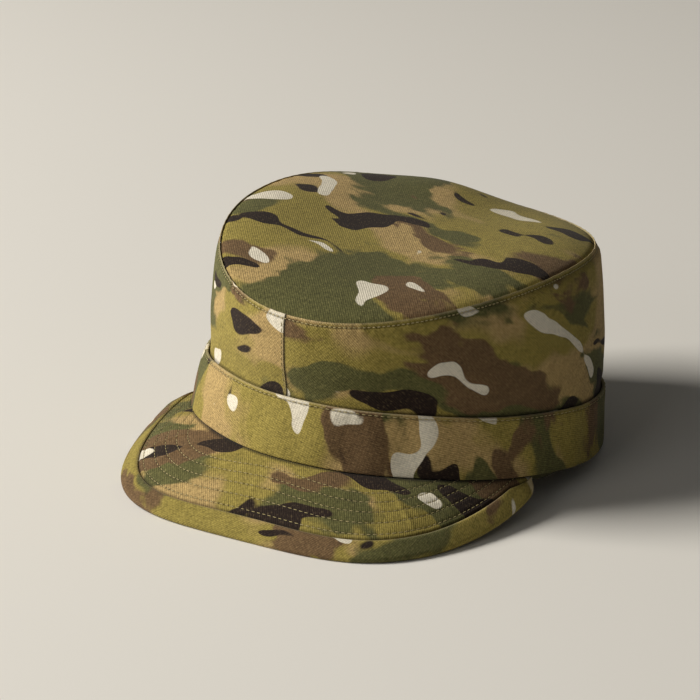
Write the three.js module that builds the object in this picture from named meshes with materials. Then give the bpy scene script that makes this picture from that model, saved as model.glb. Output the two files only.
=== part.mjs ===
// Patrol cap in millimetres, +Z up, peak towards -Y, the wearer's left towards +X.
// It lies on its brim as it is put down: the edge of the peak and the back of the band touch z = 0.
import * as THREE from 'three';
import { mergeVertices } from 'three/addons/utils/BufferGeometryUtils.js';

// Head opening, measured over the lower edge of the band
const capLength = 198;
const capWidth = 193.6;

// Cloth and the clearance that every seam keeps
const crownCloth = 1.6;
const bandCloth = 1.8;
const peakCloth = 2.2;
const peakEdgeCloth = 1.0;
const bindingCloth = 1.0;
const seamGap = 0.3;

// Heights above the surface that the cap lies on
const frontLift = 27.3;
const backPress = 3.4;
const bandLean = 1.9;
const bandHeight = 27.6;
const crownHeight = 90.7;
const crownSideRise = 10.1;
const crownLean = 6.1;
const crownBackRise = 3.0;

// Fullness of the cloth, and how far the crown's upright seams turn between the top and the band
const wallSwell = 0.9;
const sideFill = 1.3;
const bandSwell = 2.0;
const seamTwist = -3;
const domeHeight = 7.1;
const domeFlatness = 5.5;

// Where the soft cloth stands fuller on one side, as bearings in degrees counted from the front
// towards the wearer's left, and how far each fullness spreads
const backRiseAt = { bearing: -111, spread: 60 };
const sideFillAt = { bearing: 122, spread: 45 };
const bandSwellAt = { bearing: -98, spread: 45 };

// Peak
const peakReach = 36.1;
const peakWidth = 189.2;
const peakTurn = 1.3;
const peakCamber = 2.6;
const peakRisePower = 2.7;
const cornerSides = 3.95;
const cornerFront = 1.73;
const bindingWidth = 7.0;
const rimPress = 0.1;

// Plan of the peak, as shares of the cap's length and width: where its sides turn in towards the
// front, how far its ends run back from there under the band, and its shift to the wearer's right
const peakPlan = { shoulder: 0.244, tail: 0.153, side: -0.0158 };

// The most of a short section, near the ends of the peak, that the binding, the ledge under it and
// the slope up to the full thickness take, as shares of the section
const shortSection = { bound: 0.6, ledge: 0.8, full: 0.9 };

// Degrees past each end of the peak where the wall's foot starts to come down and where it is down
const hemFadeStart = 2;
const hemFadeEnd = 12;

// Facets
const ringColumns = 72;
const peakColumns = 48;
const rimArcSteps = 4;
const rimSearchStep = 0.5;
const collapsedEdge = 1e-6;
const mergeDistance = 1e-4;

// Rings round the head. Length, width and the two offsets are shares of the cap's length and width;
// roundness is the exponent of the outline and pear widens its front.
const rings = {
  foot: { length: 1.0, width: 1.0, roundness: 1.907, pear: 0.021, back: 0.0, side: -0.0047 },
  head: { length: 0.961, width: 0.96, roundness: 1.919, pear: -0.02, back: 0.0022, side: 0.0067 },
  seam: { length: 0.975, width: 0.818, roundness: 2.126, pear: -0.115, back: -0.0015, side: 0.0 },
};

// Rows of the crown's wall. Share runs from one ring to the next, tuck is how far the cloth lies
// behind the band, swell how far it fills out and fill how far its fuller side does, as shares of
// the whole tuck, swell and side fill.
const wallRows = [
  { from: 'foot', to: 'head', share: 0.0, tuck: 1.0, swell: 0.0, fill: 0.0 },
  { from: 'foot', to: 'head', share: 0.5, tuck: 1.0, swell: 0.0, fill: 0.0 },
  { from: 'foot', to: 'head', share: 1.0, tuck: 1.0, swell: 0.0, fill: 0.0 },
  { from: 'head', to: 'seam', share: 0.14, tuck: 0.6, swell: 0.2, fill: 0.9 },
  { from: 'head', to: 'seam', share: 0.38, tuck: 0.15, swell: 0.5, fill: 1.0 },
  { from: 'head', to: 'seam', share: 0.64, tuck: 0.0, swell: 0.75, fill: 1.0 },
  { from: 'head', to: 'seam', share: 0.86, tuck: 0.0, swell: 1.0, fill: 1.0 },
  { from: 'head', to: 'seam', share: 0.96, tuck: 0.0, swell: 0.8, fill: 0.8 },
  { from: 'head', to: 'seam', share: 1.0, tuck: 0.15, swell: 0.0, fill: 0.0 },
];

// Shallow hollows of the soft wall. Height is a share of the wall above the band, spread is in
// degrees, tall a share of that wall and depth a share of the swell.
const wallHollows = [
  { bearing: -38, height: 0.42, spread: 16, tall: 0.3, depth: 0.7 },
  { bearing: 24, height: 0.3, spread: 14, tall: 0.25, depth: 0.8 },
  { bearing: 78, height: 0.35, spread: 18, tall: 0.3, depth: 0.9 },
  { bearing: 150, height: 0.5, spread: 22, tall: 0.35, depth: 1.2 },
  { bearing: -120, height: 0.45, spread: 20, tall: 0.35, depth: 1.1 },
];

// Rings of the top panel, as shares of the way from its middle to its seam
const topRows = [1.0, 0.97, 0.9, 0.76, 0.52, 0.26, 0.0];

// Sags of the top panel: out is the share of the way to the seam, wide a share of the cap's half
// width and depth a share of the dome, below zero where the cloth stands up in a hump.
const topSags = [
  { bearing: 165, out: 0.72, wide: 0.3, depth: 0.35 },
  { bearing: 40, out: 0.5, wide: 0.4, depth: 0.2 },
  { bearing: -164, out: 0.8, wide: 0.3, depth: -0.92 },
];

// Rows of the peak between its binding and the band, as shares of that stretch
const peakRows = [0.0, 0.3, 0.6, 1.0];

const degree = Math.PI / 180;
const tuckDepth = bandCloth + seamGap;
const hemDrop = peakCloth + seamGap;
const rimRadius = peakEdgeCloth / 2 + seamGap + bindingCloth;

function lerp(a, b, share) {
  return a + (b - a) * share;
}

function signedPower(value, power) {
  return Math.sign(value) * Math.abs(value) ** power;
}

function bell(distance, spread) {
  return Math.exp(-((distance / spread) ** 2));
}

function turnBetween(a, b) {
  const turn = Math.abs(a - b) % (2 * Math.PI);
  return Math.min(turn, 2 * Math.PI - turn);
}

function nearness(angle, place) {
  return bell(turnBetween(angle, place.bearing * degree), place.spread * degree);
}

// A point of a ring at an angle counted from the front, moved in by an inset
function ringPoint(ring, angle, inset) {
  const power = 2 / ring.roundness;
  const halfLength = (capLength / 2) * ring.length - inset;
  const halfWidth = (capWidth / 2) * ring.width - inset;
  const across = signedPower(Math.sin(angle), power) * (1 + ring.pear * Math.cos(angle));
  const along = signedPower(Math.cos(angle), power);
  return new THREE.Vector2(
    ring.side * capWidth + halfWidth * across,
    ring.back * capLength - halfLength * along,
  );
}

// Heights of the band's two edges and of the crown's seam
function edgePlane(angle) {
  return (frontLift * (1 + Math.cos(angle))) / 2 - bandLean * Math.sin(angle) - backPress;
}

function footHeight(angle) {
  return Math.max(0, edgePlane(angle));
}

function headHeight(angle) {
  return edgePlane(angle) + bandHeight;
}

function backRise(angle) {
  return crownBackRise * nearness(angle, backRiseAt);
}

function seamHeight(angle) {
  const rise = crownSideRise * Math.sin(angle) ** 2 + backRise(angle);
  return crownHeight + rise - crownLean * Math.sin(angle);
}

// A closed shell from two grids of points. A grid is a list of columns, counter-clockwise round the
// cap, and a column runs upwards, or inwards from a rim.
function shell(outer, inner, closed) {
  const triangles = [];
  const addQuad = (a, b, c, d) => {
    for (const corners of [[a, b, c], [a, c, d]]) {
      const [p, q, r] = corners;
      const shortest = Math.min(p.distanceTo(q), q.distanceTo(r), r.distanceTo(p));
      if (shortest >= collapsedEdge) triangles.push(...corners);
    }
  };
  const columns = outer.length;
  const last = outer[0].length - 1;
  const steps = closed ? columns : columns - 1;
  for (let column = 0; column < steps; column += 1) {
    const next = (column + 1) % columns;
    for (let row = 0; row < last; row += 1) {
      addQuad(outer[column][row], outer[next][row], outer[next][row + 1], outer[column][row + 1]);
      addQuad(inner[column][row], inner[column][row + 1], inner[next][row + 1], inner[next][row]);
    }
    addQuad(outer[column][0], inner[column][0], inner[next][0], outer[next][0]);
    addQuad(outer[column][last], outer[next][last], inner[next][last], inner[column][last]);
  }
  if (!closed) {
    const end = columns - 1;
    for (let row = 0; row < last; row += 1) {
      addQuad(outer[0][row], outer[0][row + 1], inner[0][row + 1], inner[0][row]);
      addQuad(outer[end][row], inner[end][row], inner[end][row + 1], outer[end][row + 1]);
    }
  }
  const loose = new THREE.BufferGeometry().setFromPoints(triangles);
  const geometry = mergeVertices(loose, mergeDistance);
  geometry.computeVertexNormals();
  return geometry;
}

function cloth(color, roughness) {
  return new THREE.MeshStandardMaterial({ color, roughness, metalness: 0 });
}

function piece(name, geometry, material) {
  const mesh = new THREE.Mesh(geometry, material);
  mesh.name = name;
  return mesh;
}

// Band: a doubled strip round the foot of the crown
function bandPoint(angle, share, depth) {
  const swell = 4 * share * (1 - share) * bandSwell * nearness(angle, bandSwellAt);
  const foot = ringPoint(rings.foot, angle, depth - swell);
  const head = ringPoint(rings.head, angle, depth - swell);
  return new THREE.Vector3(
    lerp(foot.x, head.x, share),
    lerp(foot.y, head.y, share),
    lerp(footHeight(angle), headHeight(angle), share),
  );
}

function makeBand() {
  const shares = [0, 0.5, 1];
  const outer = [];
  const inner = [];
  for (let column = 0; column < ringColumns; column += 1) {
    const angle = (2 * Math.PI * column) / ringColumns;
    outer.push(shares.map((share) => bandPoint(angle, share, 0)));
    inner.push(shares.map((share) => bandPoint(angle, share, bandCloth)));
  }
  return shell(outer, inner, true);
}

// Outline of the peak: the middle of its bound edge, from one end under the band to the other
function rimPlan(turn) {
  const shoulder = capLength * peakPlan.shoulder;
  const tail = capLength * peakPlan.tail;
  const reach = turnIsFront(turn) ? capLength / 2 + peakReach - shoulder : tail;
  const straight = new THREE.Vector2(
    peakPlan.side * capWidth + (peakWidth / 2) * signedPower(Math.sin(turn), 2 / cornerSides),
    -shoulder - reach * signedPower(Math.cos(turn), 2 / cornerFront),
  );
  return straight.rotateAround(new THREE.Vector2(), peakTurn * degree);
}

function turnIsFront(turn) {
  return Math.cos(turn) > 0;
}

function bearingOf(point) {
  return Math.atan2(point.x, -point.y);
}

// How far the rim stands out from the band's lower edge in the same direction
function rimReach(turn) {
  const rim = rimPlan(turn);
  return rim.length() - ringPoint(rings.foot, bearingOf(rim), 0).length();
}

// The turn at which the rim runs in under the band, on one side
function rimEnd(side) {
  const step = rimSearchStep * degree;
  let turn = 0;
  while (rimReach(side * (turn + step)) > 0) turn += step;
  return turn;
}

const rimEnds = { right: rimEnd(-1), left: rimEnd(1) };

// One radial section of the peak: its rim, its root at the band and the frame along it
function peakSection(share) {
  const side = share < 0 ? -1 : 1;
  const end = side < 0 ? rimEnds.right : rimEnds.left;
  const rim = rimPlan(side * end * Math.abs(share) ** (cornerSides / 2));
  const bearing = bearingOf(rim);
  const endBearing = Math.abs(bearingOf(rimPlan(side * end)));
  const sunk = 1 - Math.min(1, Math.abs(bearing) / endBearing) ** peakRisePower;
  const restHeight = rimRadius - rimPress;
  const endDrop = seamGap + rimRadius;
  const frontDrop = footHeight(0) - restHeight;
  const rimHeight = footHeight(bearing) - lerp(endDrop, frontDrop, sunk);
  const root = ringPoint(rings.foot, bearing, 0);
  const length = rim.distanceTo(root);
  return {
    bearing,
    length,
    rim: new THREE.Vector3(rim.x, rim.y, Math.max(restHeight, rimHeight)),
    root: new THREE.Vector3(root.x, root.y, footHeight(bearing) - seamGap - peakCloth / 2),
    camber: peakCamber * Math.min(1, length / peakReach),
    out: rim.clone().sub(root).normalize(),
    boundWidth: Math.min(bindingWidth, shortSection.bound * length),
  };
}

// Slope of a section's middle surface; a section shorter than the binding keeps to a gentle one
function slopeAt(section, share) {
  const rise = section.root.z - section.rim.z + 4 * section.camber * (1 - 2 * share);
  return Math.atan2(rise, Math.max(section.length, 2 * bindingWidth));
}

// A point of a section: along it from the rim, and out from its middle surface by a height
function peakPoint(section, along, height) {
  const share = section.length > 0 ? along / section.length : 0;
  const middle = section.rim.clone().lerp(section.root, share);
  middle.z += 4 * section.camber * share * (1 - share);
  const slope = slopeAt(section, share);
  middle.x += section.out.x * Math.sin(slope) * height;
  middle.y += section.out.y * Math.sin(slope) * height;
  middle.z += Math.cos(slope) * height;
  return middle;
}

// Peak: cloth over a stiff core, thinner under its binding, flat where it is sewn behind the band
function peakColumn(section, side) {
  const thin = (side * peakEdgeCloth) / 2;
  const full = (side * peakCloth) / 2;
  const ledge = section.boundWidth + seamGap;
  const ledgeEnd = Math.min(ledge, shortSection.ledge * section.length);
  const start = Math.min(ledge + peakCloth / 2, shortSection.full * section.length);
  const column = [
    peakPoint(section, 0, thin),
    peakPoint(section, ledge / 2, thin),
    peakPoint(section, ledgeEnd, thin),
  ];
  for (const share of peakRows) {
    column.push(peakPoint(section, lerp(start, section.length, share), full));
  }
  const sewn = ringPoint(rings.foot, section.bearing, bandCloth);
  column.push(new THREE.Vector3(sewn.x, sewn.y, section.root.z + full));
  return column;
}

function makePeak(sections) {
  const upper = sections.map((section) => peakColumn(section, 1));
  const lower = sections.map((section) => peakColumn(section, -1));
  return shell(upper, lower, false);
}

// Binding: a strip folded round the rim, pressed flat where the peak stands on the surface
function bindingColumn(section, radius) {
  const column = [
    peakPoint(section, section.boundWidth, -radius),
    peakPoint(section, section.boundWidth / 2, -radius),
  ];
  const rimSlope = slopeAt(section, 0);
  for (let step = 0; step <= rimArcSteps; step += 1) {
    const around = Math.PI * (step / rimArcSteps - 0.5);
    const outwards = radius * (Math.cos(around) * Math.cos(rimSlope) + Math.sin(around) * Math.sin(rimSlope));
    const upwards = radius * (Math.sin(around) * Math.cos(rimSlope) - Math.cos(around) * Math.sin(rimSlope));
    column.push(new THREE.Vector3(
      section.rim.x + section.out.x * outwards,
      section.rim.y + section.out.y * outwards,
      section.rim.z + upwards,
    ));
  }
  column.push(peakPoint(section, section.boundWidth / 2, radius));
  column.push(peakPoint(section, section.boundWidth, radius));
  for (const point of column) point.z = Math.max(0, point.z);
  return column;
}

function makeBinding(sections) {
  const outer = sections.map((section) => bindingColumn(section, rimRadius));
  const inner = sections.map((section) => bindingColumn(section, rimRadius - bindingCloth));
  return shell(outer, inner, false);
}

// Crown wall: two halves that meet at the front and at the back, their foot tucked behind the band
function hemHeight(angle) {
  const bearing = turnBetween(angle, 0);
  const peakEnd = Math.abs(bearingOf(rimPlan(angle < 0 ? -rimEnds.right : rimEnds.left)));
  const fadeStart = peakEnd + hemFadeStart * degree;
  const fadeEnd = peakEnd + hemFadeEnd * degree;
  const beyond = THREE.MathUtils.smoothstep(bearing, fadeStart, fadeEnd);
  return footHeight(angle) - hemDrop * (1 - beyond);
}

const wallHeights = {
  foot: hemHeight,
  head: headHeight,
  seam: (angle) => seamHeight(angle) - crownCloth - seamGap,
};

function wallHollow(angle, row) {
  if (row.from !== 'head') return 0;
  let depth = 0;
  for (const hollow of wallHollows) {
    const sideways = turnBetween(angle, hollow.bearing * degree);
    const upwards = row.share - hollow.height;
    depth += hollow.depth * bell(sideways, hollow.spread * degree) * bell(upwards, hollow.tall);
  }
  return depth * wallSwell * (1 - row.share);
}

function wallPoint(seamAngle, row, depth) {
  const below = row.from === 'foot' ? 1 : 1 - row.share;
  const angle = seamAngle + seamTwist * degree * below;
  const fill = sideFill * row.fill * nearness(angle, sideFillAt);
  const swell = wallSwell * row.swell + fill - wallHollow(angle, row);
  const inset = tuckDepth * row.tuck - swell + depth;
  const low = ringPoint(rings[row.from], angle, inset);
  const high = ringPoint(rings[row.to], angle, inset);
  return new THREE.Vector3(
    lerp(low.x, high.x, row.share),
    lerp(low.y, high.y, row.share),
    lerp(wallHeights[row.from](angle), wallHeights[row.to](angle), row.share),
  );
}

function makeCrownSide(side) {
  const columns = ringColumns / 2;
  const outer = [];
  const inner = [];
  for (let column = 0; column <= columns; column += 1) {
    const angle = side > 0 ? (Math.PI * column) / columns : (Math.PI * column) / columns - Math.PI;
    const clear = column === 0 || column === columns ? (side * seamGap) / 2 : 0;
    const shift = new THREE.Vector3(clear, 0, 0);
    outer.push(wallRows.map((row) => wallPoint(angle, row, 0).add(shift)));
    inner.push(wallRows.map((row) => wallPoint(angle, row, crownCloth).add(shift)));
  }
  return shell(outer, inner, false);
}

// Top panel: a sheet that the seam bends up at both sides, domed a little and sunk in places
function topSag(x, y) {
  let depth = 0;
  for (const sag of topSags) {
    const ring = ringPoint(rings.seam, sag.bearing * degree, 0);
    const away = Math.hypot(x - ring.x * sag.out, y - ring.y * sag.out);
    depth += sag.depth * bell(away, (sag.wide * capWidth) / 2);
  }
  return depth * domeHeight;
}

function topPoint(angle, out, depth) {
  const ring = ringPoint(rings.seam, angle, 0);
  const x = ring.x * out;
  const y = ring.y * out;
  const saddle = (crownSideRise / 2) * (1 - out ** 2 * Math.cos(2 * angle));
  const dome = (domeHeight - topSag(x, y)) * (1 - out ** domeFlatness);
  const tilt = backRise(angle) * out ** 3 - crownLean * out * Math.sin(angle);
  return new THREE.Vector3(x, y, crownHeight + saddle + tilt + dome - depth);
}

function makeCrownTop() {
  const outer = [];
  const inner = [];
  for (let column = 0; column < ringColumns; column += 1) {
    const angle = (2 * Math.PI * column) / ringColumns;
    outer.push(topRows.map((out) => topPoint(angle, out, 0)));
    inner.push(topRows.map((out) => topPoint(angle, out, crownCloth)));
  }
  return shell(outer, inner, true);
}

const sections = [];
for (let column = 0; column <= peakColumns; column += 1) {
  sections.push(peakSection((2 * column) / peakColumns - 1));
}

const cap = new THREE.Group();
cap.add(
  piece('crown_top', makeCrownTop(), cloth(0x6f6a3a, 0.92)),
  piece('crown_side_right', makeCrownSide(-1), cloth(0x77693f, 0.92)),
  piece('crown_side_left', makeCrownSide(1), cloth(0x5e5434, 0.92)),
  piece('band', makeBand(), cloth(0x6b5a3f, 0.92)),
  piece('peak', makePeak(sections), cloth(0x6d6a3c, 0.92)),
  piece('peak_binding', makeBinding(sections), cloth(0x86754e, 0.9)),
);

// The origin is the middle of the cap's outline on the surface
cap.updateMatrixWorld(true);
const bounds = new THREE.Box3().setFromObject(cap);
const middle = bounds.getCenter(new THREE.Vector3());
cap.position.set(-middle.x, -middle.y, -bounds.min.z);

export default cap;
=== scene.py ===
"""A soft patrol cap of printed twill, lying on a pale surface on its peak and the back of its band."""
import math

import bmesh
import bpy
import numpy as np
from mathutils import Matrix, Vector


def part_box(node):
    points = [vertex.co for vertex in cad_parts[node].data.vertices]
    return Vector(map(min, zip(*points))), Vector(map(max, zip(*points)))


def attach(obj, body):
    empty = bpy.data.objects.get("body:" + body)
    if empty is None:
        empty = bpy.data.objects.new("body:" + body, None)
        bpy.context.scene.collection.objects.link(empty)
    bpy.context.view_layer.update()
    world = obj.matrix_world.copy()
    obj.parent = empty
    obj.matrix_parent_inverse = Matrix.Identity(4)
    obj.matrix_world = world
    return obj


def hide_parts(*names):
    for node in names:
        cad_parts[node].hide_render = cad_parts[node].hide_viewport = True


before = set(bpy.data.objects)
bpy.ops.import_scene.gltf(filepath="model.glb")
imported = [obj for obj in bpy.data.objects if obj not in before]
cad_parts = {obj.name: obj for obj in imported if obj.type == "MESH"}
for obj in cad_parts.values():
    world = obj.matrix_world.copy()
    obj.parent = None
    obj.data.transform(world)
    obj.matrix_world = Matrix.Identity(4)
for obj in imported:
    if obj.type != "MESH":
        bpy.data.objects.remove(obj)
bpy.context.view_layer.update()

# Crown sides
# Two halves of twill, joined by a felled seam at the front and another at the back. They lean in
# towards the top, fill out a little below the crown's seam, and their foot is tucked behind the band.
mm = 0.001
band_low, band_high = (Vector(corner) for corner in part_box("band"))
cap_width = 193.6 * mm
cap_length = band_high.y - band_low.y
crown_cloth = 1.6 * mm
band_cloth = 1.8 * mm
seam_gap = 0.3 * mm
tuck_depth = band_cloth + seam_gap
front_lift = 27.3 * mm
back_press = 3.4 * mm
band_lean = 1.9 * mm
band_height = 27.6 * mm
crown_height = 90.7 * mm
crown_side_rise = 10.1 * mm
crown_lean = 6.1 * mm
crown_back_rise = 3.0 * mm
wall_swell = 0.9 * mm
side_fill = 1.3 * mm
seam_twist = math.radians(-3)
back_rise_at = {"bearing": -111, "spread": 60}
side_fill_at = {"bearing": 122, "spread": 45}
hem_drop = 2.5 * mm
peak_side_ends = (math.radians(72), math.radians(82))
edge_round_depth = 0.6 * mm
edge_round_inset = 0.45 * mm
edge_fullness = 0.4
crown_stitch_drop = 2.1 * mm
crown_stitch_sink = 0.22 * mm
top_clearance = 0.1 * mm
foot_clearance = 0.15 * mm
upright_clearance = 0.05 * mm
fell_width = 4.5 * mm
fell_rise = 0.14 * mm
fell_sink = 0.1 * mm
opening_slack = 0.35 * mm

# How pale the cloth is painted at its edges and seams, partly worn and partly a painted highlight, and how
# much painted shade lies along its stitched lines, seams and foot, from 0 to 1.
edge_wear_and_highlight = 0.32
fell_wear_and_highlight = 0.35
fell_shade = 0.9
stitch_shade = 0.6
foot_shade = 0.5
wrong_side_shown = 0.65

# Each ring's length and width are shares of the cap's, back and side how far its middle is moved.
rings = {
    "foot": {"length": 1.0, "width": 1.0, "roundness": 1.907, "pear": 0.021,
             "back": 0.0, "side": -0.0047},
    "head": {"length": 0.961, "width": 0.96, "roundness": 1.919, "pear": -0.02,
             "back": 0.0022, "side": 0.0067},
    "seam": {"length": 0.975, "width": 0.818, "roundness": 2.126, "pear": -0.115,
             "back": -0.0015, "side": 0.0},
}

# The wall's soft waves. Turns is the range of waves round the head, drift how far they lean on the way
# up, in radians.
wall_waves = [
    {"size": 0.5 * mm, "seed": 3, "turns": (3, 9), "drift": 6.0},
    {"size": 0.2 * mm, "seed": 5, "turns": (14, 40), "drift": 9.0},
]
wall_pucker = {"size": 0.15 * mm, "seed": 7, "turns": (60, 120), "drop": 2.2 * mm, "spread": 3 * mm}
centre_x = band_high.x - cap_width / 2 - rings["foot"]["side"] * cap_width
centre_y = (band_low.y + band_high.y) / 2


def signed_power(value, power):
    return np.sign(value) * np.abs(value) ** power


def smooth(low, high, value):
    """0 below low, 1 above high and an S-curve between them."""
    share = np.clip((value - low) / (high - low), 0, 1)
    return share * share * (3 - 2 * share)


def bell(distance, spread):
    return np.exp(-((distance / spread) ** 2))


def nearness(angle, place):
    """1 at a bearing round the cap, falling off over its spread."""
    turn = np.angle(np.exp(1j * (angle - math.radians(place["bearing"]))))
    return bell(turn, math.radians(place["spread"]))


def ring_point(name, angle, inset):
    """x and y of a ring at an angle counted from the front, moved in by an inset."""
    ring = rings[name]
    power = 2 / ring["roundness"]
    half_length = cap_length / 2 * ring["length"] - inset
    half_width = cap_width / 2 * ring["width"] - inset
    across = signed_power(np.sin(angle), power) * (1 + ring["pear"] * np.cos(angle))
    along = signed_power(np.cos(angle), power)
    x = centre_x + ring["side"] * cap_width + half_width * across
    y = centre_y + ring["back"] * cap_length - half_length * along
    return x, y


def edge_plane(angle):
    """Height of the band's foot before the surface presses it flat."""
    return front_lift * (1 + np.cos(angle)) / 2 - band_lean * np.sin(angle) - back_press


def foot_height(angle):
    return np.maximum(0, edge_plane(angle))


def head_height(angle):
    return edge_plane(angle) + band_height


def back_rise(angle):
    return crown_back_rise * nearness(angle, back_rise_at)


def seam_height(angle):
    rise = crown_side_rise * np.sin(angle) ** 2 + back_rise(angle)
    return crown_height + rise - crown_lean * np.sin(angle)


def ripples(angle, seed, turns, drift=0.0, waves=6):
    """Soft random waves round the cap, mostly between -1 and 1. Turns is the range of waves round the
    head, and each wave is shifted by a random share of the drift."""
    random = np.random.default_rng(seed)
    total = np.zeros(np.broadcast(angle, drift).shape)
    for _ in range(waves):
        count = random.integers(turns[0], turns[1] + 1)
        shift = random.uniform(-1, 1) * drift
        total = total + np.sin(count * angle + shift + random.uniform(0, 6.28))
    return total / math.sqrt(waves)


def cloth_slack(angle):
    """How far the soft head opening strays from its ring."""
    return opening_slack * ripples(angle, 11, (4, 11))


def cloth_shell(name, outer, inner, maps, closed=False, wear=None, pressed=None, reverse=0.0):
    """A closed shell from two grids of points, [column, row, xyz]. The maps are in metres. Of the weights
    after closed, the first is how pale each point is painted, partly worn and partly a painted highlight
    on raised edges, the second how much painted shade lies on it along stitched lines, seams and
    contacts, and reverse how much of the cloth's wrong side the inner skin shows."""
    columns, rows = outer.shape[:2]
    count = columns * rows
    front = np.arange(count).reshape(columns, rows)
    back = front + count

    def strip(a, b, c, d):
        return np.stack([a.ravel(), b.ravel(), c.ravel(), d.ravel()], 1)

    faces = [
        strip(front[:-1, :-1], front[1:, :-1], front[1:, 1:], front[:-1, 1:]),
        strip(back[:-1, :-1], back[:-1, 1:], back[1:, 1:], back[1:, :-1]),
        strip(front[:-1, 0], back[:-1, 0], back[1:, 0], front[1:, 0]),
        strip(front[:-1, -1], front[1:, -1], back[1:, -1], back[:-1, -1]),
    ]
    if not closed:
        faces.append(strip(front[0, :-1], front[0, 1:], back[0, 1:], back[0, :-1]))
        faces.append(strip(front[-1, :-1], back[-1, :-1], back[-1, 1:], front[-1, 1:]))
    mesh = bpy.data.meshes.new(name)
    points = np.concatenate([outer.reshape(-1, 3), inner.reshape(-1, 3)])
    mesh.from_pydata(points.tolist(), [], np.concatenate(faces).tolist())
    corners = np.empty(len(mesh.loops), dtype=np.int32)
    mesh.loops.foreach_get("vertex_index", corners)
    for key, values in maps.items():
        both = np.concatenate([values.reshape(-1, 2), values.reshape(-1, 2)])
        mesh.uv_layers.new(name=key).data.foreach_set("uv", both[corners].ravel())
    plain = np.zeros(count)
    states = {
        "wear": np.tile(plain if wear is None else wear.ravel(), 2),
        "pressed": np.tile(plain if pressed is None else pressed.ravel(), 2),
        "reverse": np.repeat([0.0, reverse], count),
    }
    for key, values in states.items():
        mesh.attributes.new(key, "FLOAT", "POINT").data.foreach_set("value", values)
    editor = bmesh.new()
    editor.from_mesh(mesh)
    bmesh.ops.remove_doubles(editor, verts=editor.verts, dist=1e-6)
    editor.to_mesh(mesh)
    editor.free()
    mesh.polygons.foreach_set("use_smooth", [True] * len(mesh.polygons))
    piece = bpy.data.objects.new(name, mesh)
    bpy.context.scene.collection.objects.link(piece)
    return piece


def cloth_map_of(grid):
    """Metres along the columns, measured at the middle row, and metres along each row of a grid."""
    middle = grid[:, grid.shape[1] // 2]
    across = np.concatenate([[0], np.cumsum(np.linalg.norm(np.diff(middle, axis=0), axis=1))])
    steps = np.linalg.norm(np.diff(grid, axis=1), axis=2)
    along = np.concatenate([np.zeros((grid.shape[0], 1)), np.cumsum(steps, axis=1)], axis=1)
    return np.stack([np.broadcast_to(across[:, None], along.shape), along], 2)


def finish_piece(piece, material, node=None):
    """Gives a piece its cloth or thread, hangs it on the root body and hides the solid that it stands for,
    if one is named.
    """
    piece.data.materials.clear()
    piece.data.materials.append(material)
    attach(piece, "root")
    if node:
        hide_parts(node)


def wall_grid(angles, heights, depth):
    """Points of the wall's outer face, depth 0, or inner face, depth 1. Heights run from -1 at the
    foot through 0 at the band's upper edge to 1 at the crown's seam."""
    angle, height = np.meshgrid(angles, heights, indexing="ij")
    turned = angle + seam_twist * np.clip(1 - height, 0, 1)
    below = np.clip(1 + height, 0, 1)
    above = np.clip(height, 0, 1)
    from_front = np.abs(np.angle(np.exp(1j * turned)))
    foot_z = foot_height(turned) - hem_drop * (1 - smooth(*peak_side_ends, from_front))
    seam_z = seam_height(turned) - top_clearance
    tuck = 1 - smooth(-0.02, 0.45, height)
    swell = smooth(0, 0.82, height) * (1 - 0.8 * smooth(0.9, 1.0, height))
    top_distance = (1 - above) * (seam_z - head_height(turned))
    edge_turn = np.clip(1 - top_distance / edge_round_depth, 0, 1)
    lip = edge_round_inset * (1 - np.sqrt(1 - edge_turn ** 2))
    body = smooth(0, 9 * mm, top_distance) * above
    relief = np.zeros_like(turned)
    for wave in wall_waves:
        folds = ripples(turned, wave["seed"], wave["turns"], wave["drift"] * height)
        relief += wave["size"] * folds * body
    drawn_in = bell(top_distance - wall_pucker["drop"], wall_pucker["spread"])
    pucker = wall_pucker["size"] * ripples(turned, wall_pucker["seed"], wall_pucker["turns"]) * drawn_in
    stitch_dip = -crown_stitch_sink * bell(top_distance - crown_stitch_drop, 0.6 * mm)
    slack = cloth_slack(turned) * (1 - smooth(0, 0.6, height))
    fill_rows = smooth(0, 0.12, height) * (1 - smooth(0.93, 1.0, height))
    slack = slack + side_fill * fill_rows * nearness(turned, side_fill_at)
    thickness = crown_cloth * (edge_fullness + (1 - edge_fullness) * smooth(0, 3 * mm, top_distance))
    half = thickness / 2 - lip
    middle_inset = tuck_depth * tuck - wall_swell * swell + foot_clearance + thickness / 2
    middle_inset = middle_inset - relief - pucker - stitch_dip - slack
    inset = middle_inset - half if depth == 0 else middle_inset + half
    foot_x, foot_y = ring_point("foot", turned, inset)
    head_x, head_y = ring_point("head", turned, inset)
    seam_x, seam_y = ring_point("seam", turned, inset)
    upper = height > 0
    x = np.where(upper, head_x + (seam_x - head_x) * above, foot_x + (head_x - foot_x) * below)
    y = np.where(upper, head_y + (seam_y - head_y) * above, foot_y + (head_y - foot_y) * below)
    head_z = head_height(turned)
    z = np.where(upper, head_z + (seam_z - head_z) * above, foot_z + (head_z - foot_z) * below)
    return np.stack([x, y, z], 2)


# Shares of the way round each half, close together beside the upright seams.
edge_steps = np.array([0, 0.0015, 0.003, 0.005, 0.0075, 0.011, 0.016])
inner_steps = np.linspace(0.022, 0.978, 286)
side_shares = np.concatenate([edge_steps, inner_steps, 1 - edge_steps[::-1]])
wall_heights = np.concatenate([
    np.linspace(-1, -0.06, 8),
    np.linspace(0, 0.9, 34),
    np.linspace(0.91, 0.985, 14),
    np.linspace(0.988, 1.0, 8),
])


def fell_lift(grid, inner, edge_column, lift):
    """Moves that raise the cloth beside an upright seam, or sink it where the lift is below 0."""
    away = np.linalg.norm(grid - grid[edge_column][None], axis=2)
    outward = grid - inner
    outward = outward / np.linalg.norm(outward, axis=2, keepdims=True)
    return outward * (lift * bell(away, fell_width))[..., None]


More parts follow.
